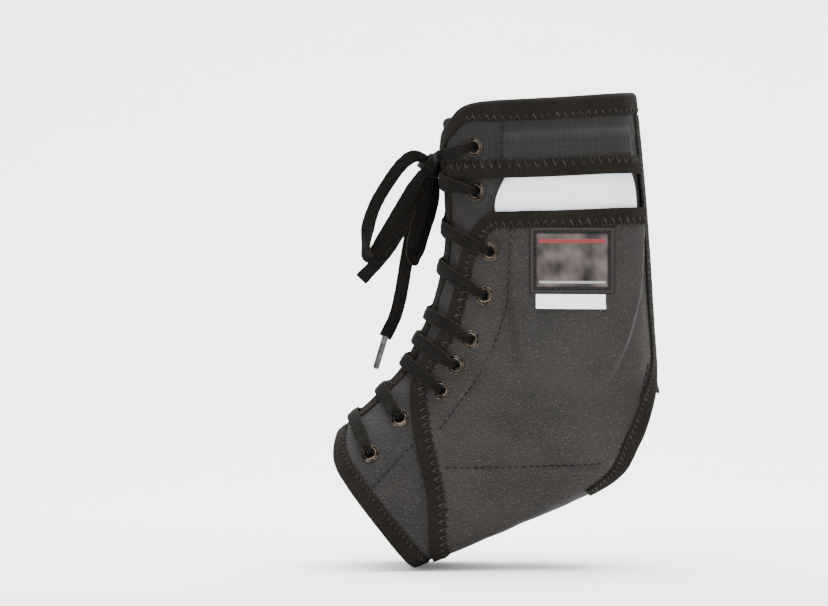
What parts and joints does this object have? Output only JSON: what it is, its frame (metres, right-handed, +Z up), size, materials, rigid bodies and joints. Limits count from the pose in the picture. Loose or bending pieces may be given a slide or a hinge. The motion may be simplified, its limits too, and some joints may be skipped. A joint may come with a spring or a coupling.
{
  "type": "ankle foot orthosis",
  "caption": "Lace-up fabric ankle brace with an open heel, side pockets holding white plastic stays, folded edge tapes, metal eyelets, a padded tongue and a flat lace tied in a bow.",
  "frame": {"origin": "the middle of the ankle, between the ankle bones, where the leg's line meets the foot's", "axes": "+X to the heel, -X to the toes, -Y the outer side with the label, +Z up the leg; the foot is worn toes down by 22.6 degrees"},
  "size_m": [0.1564, 0.0886, 0.226],
  "materials": {
    "shell_nylon": "matte woven nylon with a faint ripstop grid, foam backed",
    "panel_nylon": "matte woven nylon, finer weave",
    "binding_tape": "matte grosgrain tape with zigzag thread",
    "stay_plastic": "smooth white plastic",
    "eyelet_metal": "aged brass, worn bright at the rim",
    "washer_metal": "plain plated steel",
    "elastic_web": "ribbed elastic",
    "tongue_foam": "brushed knit over foam",
    "sole_web": "plain woven nylon",
    "lace_braid": "flat polyester braid",
    "lace_tip_plastic": "clear smoky plastic",
    "label_satin": "black satin label with a plain coloured bar",
    "care_satin": "plain white satin"
  },
  "bodies": {
    "brace": {"quarter_lateral": "shell_nylon", "cuff_band_lateral": "panel_nylon", "side_panel_lateral": "shell_nylon", "top_binding_lateral": "binding_tape", "front_binding_lateral": "binding_tape", "back_binding_lateral": "binding_tape", "toe_binding_lateral": "binding_tape", "cuff_tape_lateral": "binding_tape", "pocket_tape_lateral": "binding_tape", "eyelets_lateral": "eyelet_metal", "eyelet_washers_lateral": "washer_metal", "lace_rungs_lateral": "lace_braid", "quarter_medial": "shell_nylon", "cuff_band_medial": "panel_nylon", "side_panel_medial": "shell_nylon", "top_binding_medial": "binding_tape", "front_binding_medial": "binding_tape", "back_binding_medial": "binding_tape", "toe_binding_medial": "binding_tape", "cuff_tape_medial": "binding_tape", "pocket_tape_medial": "binding_tape", "eyelets_medial": "eyelet_metal", "eyelet_washers_medial": "washer_metal", "lace_rungs_medial": "lace_braid", "sole_panel": "sole_web", "achilles_elastic": "elastic_web", "label_patch": "label_satin", "lace_bottom_bar": "lace_braid", "lace_top_strands": "lace_braid", "lace_knot": "lace_braid", "lace_loop_front": "lace_braid", "lace_loop_back": "lace_braid", "lace_tail_front": "lace_braid", "lace_tail_back": "lace_braid", "lace_tip": "lace_tip_plastic"},
    "stay_lateral": {"stay_lateral": "stay_plastic"},
    "stay_medial": {"stay_medial": "stay_plastic"},
    "tongue": {"tongue": "tongue_foam", "tongue_binding": "binding_tape"},
    "care_label": {"care_label": "care_satin"}
  },
  "joints": [
    {"name": "stay_lateral_slide", "type": "slide", "parent": "brace", "child": "stay_lateral", "axis": [0, 0, 1], "range_m": [0, 0.005]},
    {"name": "stay_medial_slide", "type": "slide", "parent": "brace", "child": "stay_medial", "axis": [0, 0, 1], "range_m": [0, 0.005]},
    {"name": "tongue_hinge", "type": "hinge", "parent": "brace", "child": "tongue", "pos_m": [-0.088, 0, -0.028], "axis": [0, 1, 0], "range_deg": [0, 8], "stiffness_Nm_per_rad": 0.3, "springref_deg": -20.05},
    {"name": "care_label_hinge", "type": "hinge", "parent": "brace", "child": "care_label", "pos_m": [0.0173, -0.0428, 0.0412], "axis": [-1, 0, 0], "range_deg": [0, 70]}
  ]
}
